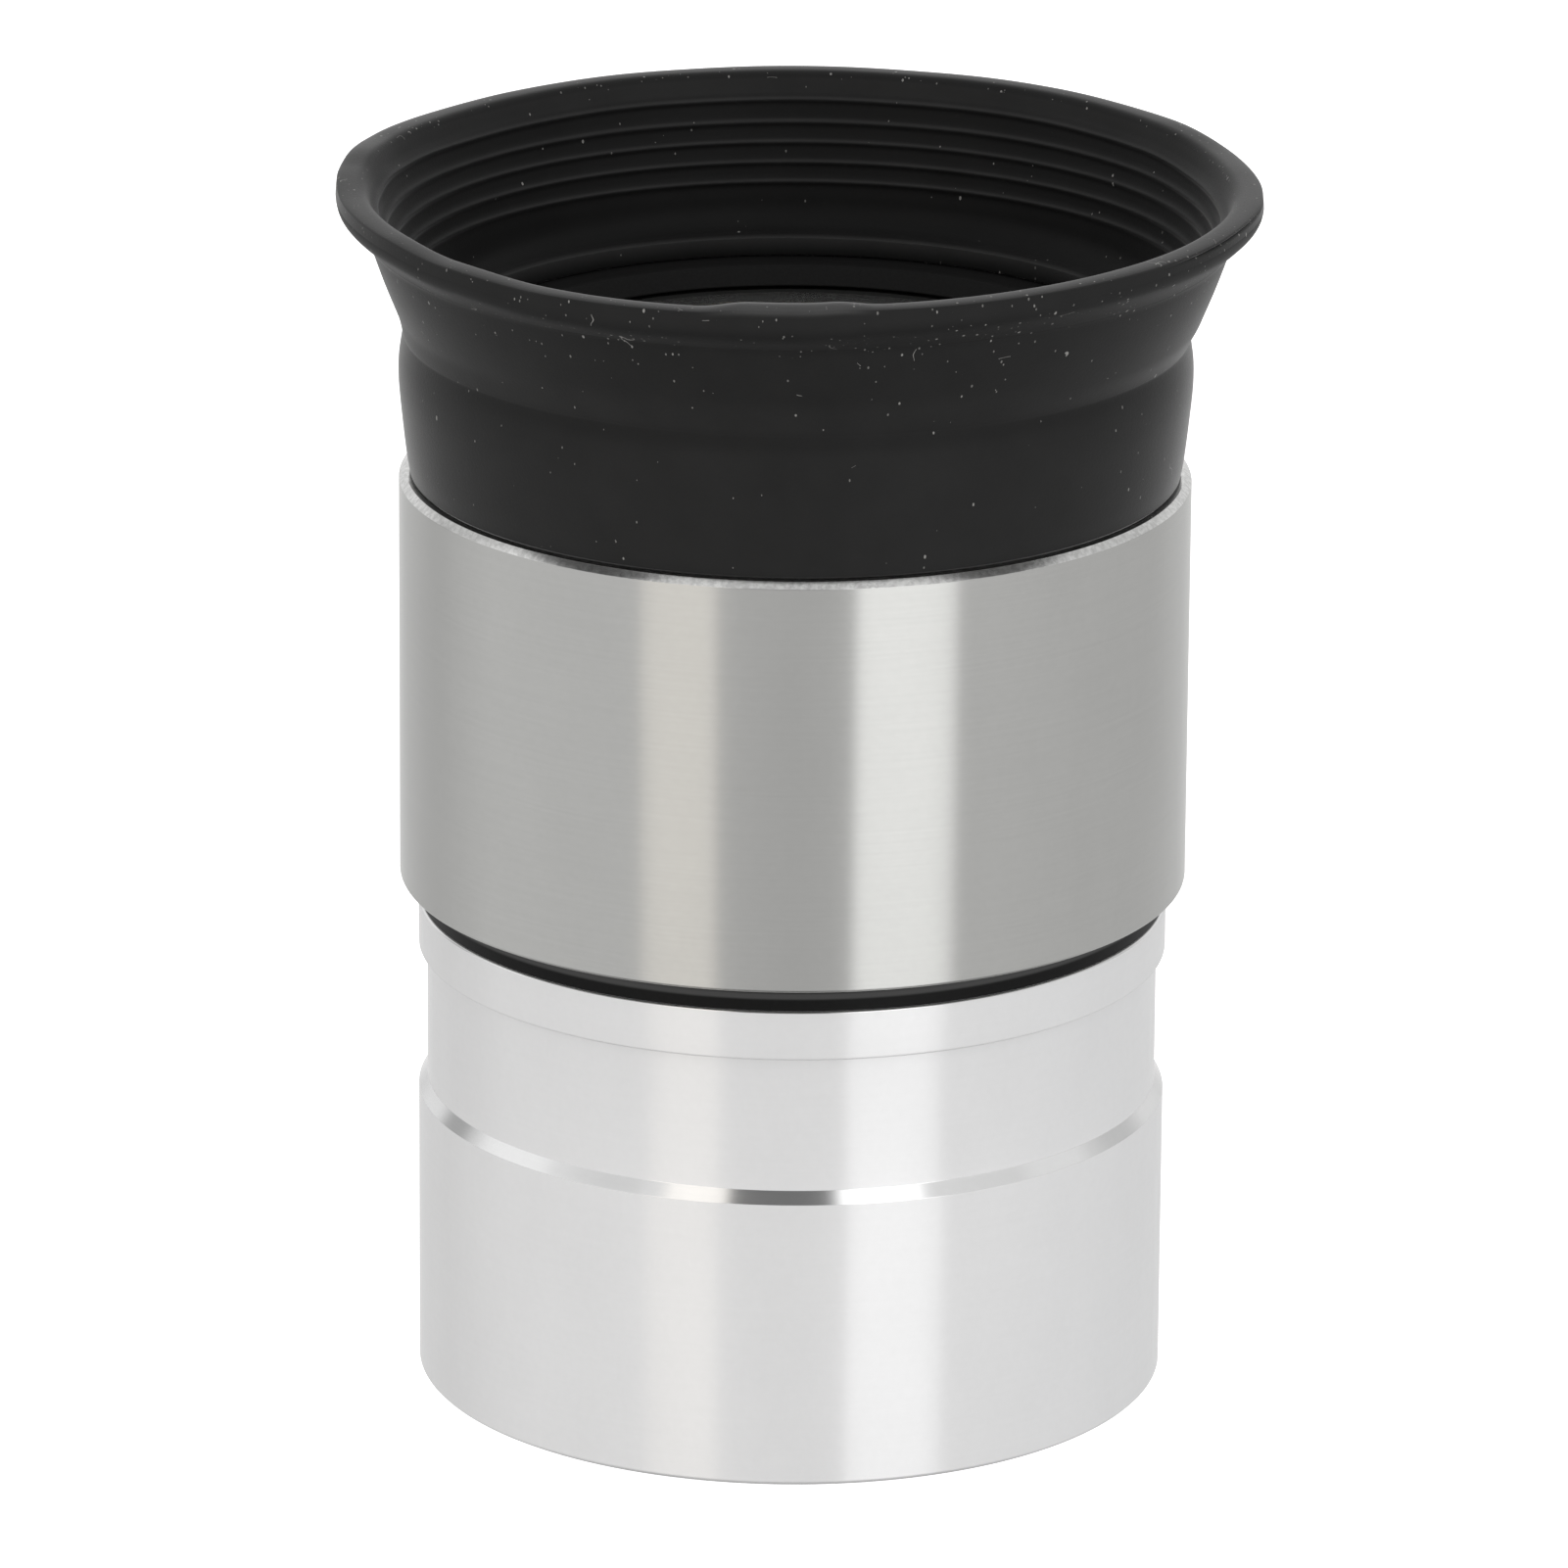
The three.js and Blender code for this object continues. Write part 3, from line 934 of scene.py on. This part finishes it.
def eyecup_outline():
    """The moulding's section, and the indices where its flare, its rim and the rim's edge start."""
    _, low, crease = extent("eyecup_base")
    rim_r, _, top = extent("eyecup_rim")
    lip_low = extent("lens_housing")[2] + LIP_GAP
    outline = rounded([(GRIP_R, low, 0.0), (16.16, low, 0.08)])[:-1]
    outline += smooth_through([
        (16.2, low + 0.08), (16.34, 40.6), (16.50, 42.0), (16.635, 43.4), (16.66, 44.2),
        (16.63, 44.75), (16.55, 45.3), (16.50, crease - 0.2), (16.48, crease - 0.03),
    ])
    flare = len(outline)
    outline += smooth_through([
        (16.50, crease + 0.04), (16.62, crease + 0.35), (16.96, 47.0), (17.44, 48.2), (17.80, 49.2),
        (18.00, 49.80), (18.07, 49.95),
    ])
    rim = len(outline)
    outline += smooth_through([
        (18.10, 50.0), (18.44, 50.33), (19.0, 50.82), (19.20, 51.03), (19.31, 51.25), (rim_r, 51.45),
    ])
    edge = len(outline)
    outline += ladder((rim_r, 51.5), (19.31, 51.96), 0.03)[1:]
    outline += smooth_through([
        (19.26, 52.0), (19.12, top - 0.02), (18.9, top), (18.6, top), (18.38, top - 0.02),
        (18.22, top - 0.09), (18.12, top - 0.22), (18.02, 51.6), (17.92, 51.35),
    ])
    outline += ladder(WALL_HEAD, WALL_FOOT)
    outline += smooth_through([
        (16.48, 47.0), (16.40, 46.6), (16.24, 46.22), (15.98, 45.93), (15.62, 45.75), (15.22, 45.65),
    ])[:-1]
    outline += rounded([
        (EYECUP_LIP_R + 0.02, EYECUP_LIP_TOP, 0.07),
        (EYECUP_LIP_R, lip_low, 0.05),
        (GRIP_R, lip_low, 0.05),
    ])
    return outline, flare, rim, edge


def soft_rubber(r, z, angle):
    """Moves the eyecup's points: fold ridges inside, and a rim that isn't quite flat or round."""
    crease = extent("eyecup_base")[2]
    right = np.cos(angle)  # 1 at +X
    front = -np.sin(angle)  # 1 at -Y
    azimuth = np.degrees(np.arctan2(right, front))
    # fold ridges
    low = WALL_FOOT[1] - WALL_MARGIN
    inner = (z > low) & (z < WALL_HEAD[1] + 0.02)
    inner &= r < np.interp(z, *WALL_LIMIT)
    heights = [low, *[h for _, h in RIDGES], WALL_HEAD[1]]
    radii = [WALL_FOOT[0] - 0.01, *[q + RIDGE_HEIGHT for q, _ in RIDGES], WALL_HEAD[0]]
    line = np.interp(z, heights, radii)
    beads = sum(np.exp(-(((z - h) / RIDGE_WIDTH) ** 2)) for _, h in RIDGES)
    r = np.where(inner, line - RIDGE_HEIGHT * beads, r)
    # the parting groove
    groove = np.exp(-(((z - GROOVE_HEIGHT) / GROOVE_WIDTH) ** 2)) * (r > 19.1)
    r = r - GROOVE_DEPTH * groove * smooth_step(right, 0.75, 0.9) * (front > -0.4)
    # the rim
    rim = smooth_step(z, 49.4, 51.0)
    edge = smooth_step(z, 50.4, 51.6) * smooth_step(r, 18.3, 19.3)
    waves = sum(depth * np.sin(count * angle + phase) for depth, count, phase in RIM_WAVES)
    r = r + edge * waves + rim * around(RIM_BULGE, azimuth)
    depth, count = LIFT_WAVE
    z = z + rim * (around(RIM_LIFT, azimuth) + depth * np.sin(count * angle))
    # the swelling on the front lip
    lip = smooth_step(z, 51.1, 51.6) * (1 - 0.4 * smooth_step(r, 18.6, 19.3))
    z = z + SWELL_HEIGHT * lip * swelling(azimuth)
    return r, z, WALL_LEAN * smooth_step(z, crease - 0.2, crease + 1.0)


def is_inside(r, z):
    """Whether an outline's point is on the eyecup's inner side, above the housing."""
    above = extent("lens_housing")[2] + LIP_GAP - 0.02
    return above < z < INSIDE_TOP and r < INSIDE_R and r < np.interp(z, *INSIDE_LIMIT)


# painted shade inside the cup, with painted light above the ridges and painted highlights along their
# crests and the lip's edge
def inner_painted_light(r, z):
    crest = sum(math.exp(-(((z - h - 0.03) / 0.07) ** 2)) for _, h in RIDGES)
    lip = math.exp(-(math.dist((r, z), (EYECUP_LIP_R + 0.04, EYECUP_LIP_TOP + 0.01)) / 0.12) ** 2)
    plain = INSIDE_PAINTED_SHADE + (COLLAR_PAINTED_LIGHT - INSIDE_PAINTED_SHADE) * smooth_step(z, 51.0, 51.25)
    return plain + (CREST_PAINTED_HIGHLIGHT - plain) * min(1, crest) + (LIP_PAINTED_HIGHLIGHT - plain) * lip


# painted light just above the crease, and painted shadow just below it
def outer_painted_light(z, crease):
    above = smooth_step(z, crease, crease + 0.3) - smooth_step(z, crease + 0.9, crease + 1.9)
    below = smooth_step(z, crease - 1.0, crease - 0.3) - smooth_step(z, crease - 0.05, crease + 0.02)
    return 1.0 + STEP_PAINTED_LIGHT * above - STEP_PAINTED_SHADOW * below


def outer_dust(z):
    dust = BASE_DUST + FLARE_DUST * smooth_step(z, 48.0, 49.4) + RIM_DUST * smooth_step(z, 49.6, 50.2)
    return dust * (TOP_DUST if z > 51.97 else 1.0)


def mark(mesh, name, values):
    """Stores a value for each point, as an attribute that the rubber's materials read."""
    layer = mesh.attributes.new(name, "FLOAT", "POINT").data
    layer.foreach_set("value", values.astype(np.float32).ravel())


def eyecup(rubbers):
    """One moulding. The materials are those of its wall, its rim's underside and its base: copies of
    one rubber, with less sheen under the rim for painted shade and more on the base for painted light.
    """
    crease = extent("eyecup_base")[2]
    outline, flare, rim, edge = eyecup_outline()
    mesh = turned("eyecup_rubber", outline, soft_rubber, FINE_SEGMENTS)
    inner = [is_inside(r, z) for r, z in outline]
    # painted light and shade for each point of the outline
    painted_shades = [inner_painted_light(r, z) if i else outer_painted_light(z, crease) for i, (r, z) in zip(inner, outline)]
    dust = [INSIDE_DUST if i else outer_dust(z) for i, (_, z) in zip(inner, outline)]
    on_lip = [0.0 if i else smooth_step(z, 51.75, 52.0) for i, (_, z) in zip(inner, outline)]
    # lit and on_lip mark the swelling on the front lip, where a painted highlight lightens the rubber's
    # colour
    angle = np.linspace(0, 2 * math.pi, FINE_SEGMENTS, endpoint=False)
    lit = swelling(np.degrees(np.arctan2(np.cos(angle), -np.sin(angle))))
    painted_swell_highlight = 1 + (SWELL_PAINTED_HIGHLIGHT - 1) * lit[:, None] * np.array(on_lip)[None, :]
    mark(mesh, PAINTED_LIGHT_AND_SHADE, np.array(painted_shades)[None, :] * painted_swell_highlight)
    mark(mesh, DUST, np.tile(dust, (FINE_SEGMENTS, 1)))
    nodes = ["eyecup_base", "eyecup_wall", "eyecup_rim"]
    made = piece("eyecup_rubber", mesh, rubbers, None, nodes)
    faces = [2 if i < flare else 1 if rim - 1 <= i < edge else 0 for i in range(len(outline))]
    mesh.polygons.foreach_set("material_index", np.tile(np.array(faces, np.int32), FINE_SEGMENTS))
    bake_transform(made)


def build():
    black = black_metal()
    ground = black_metal("lens_edge_paint", level=0.013, rough=0.8)
    barrel(satin_aluminium(), cut_aluminium(), black)
    field_stop(black)
    seal(seal_rubber(*extent("seal_ring")[1:]))
    sleeve(brushed_steel(), edge_steel())
    housing(black)
    crown = glass("crown_glass", ior=1.517, tint=(0.97, 0.985, 0.98, 1))
    flint = glass("flint_glass", ior=1.62, tint=(0.975, 0.98, 0.96, 1))
    optics(crown, flint, ground)
    spacer(black)
    retainer(black)
    # copies of one rubber that differ only in sheen: less under the rim as painted shade, more on the
    # base as painted light
    eyecup([
        moulded_rubber("moulded_rubber", sheen=0.46),
        moulded_rubber("moulded_rubber_shaded_below", sheen=0.10),
        moulded_rubber("moulded_rubber_lit_base", sheen=0.80),
    ])


scene.view_settings.view_transform = "Standard"
add_camera()
studio()
add_floor()
build()

bpy.context.view_layer.update()
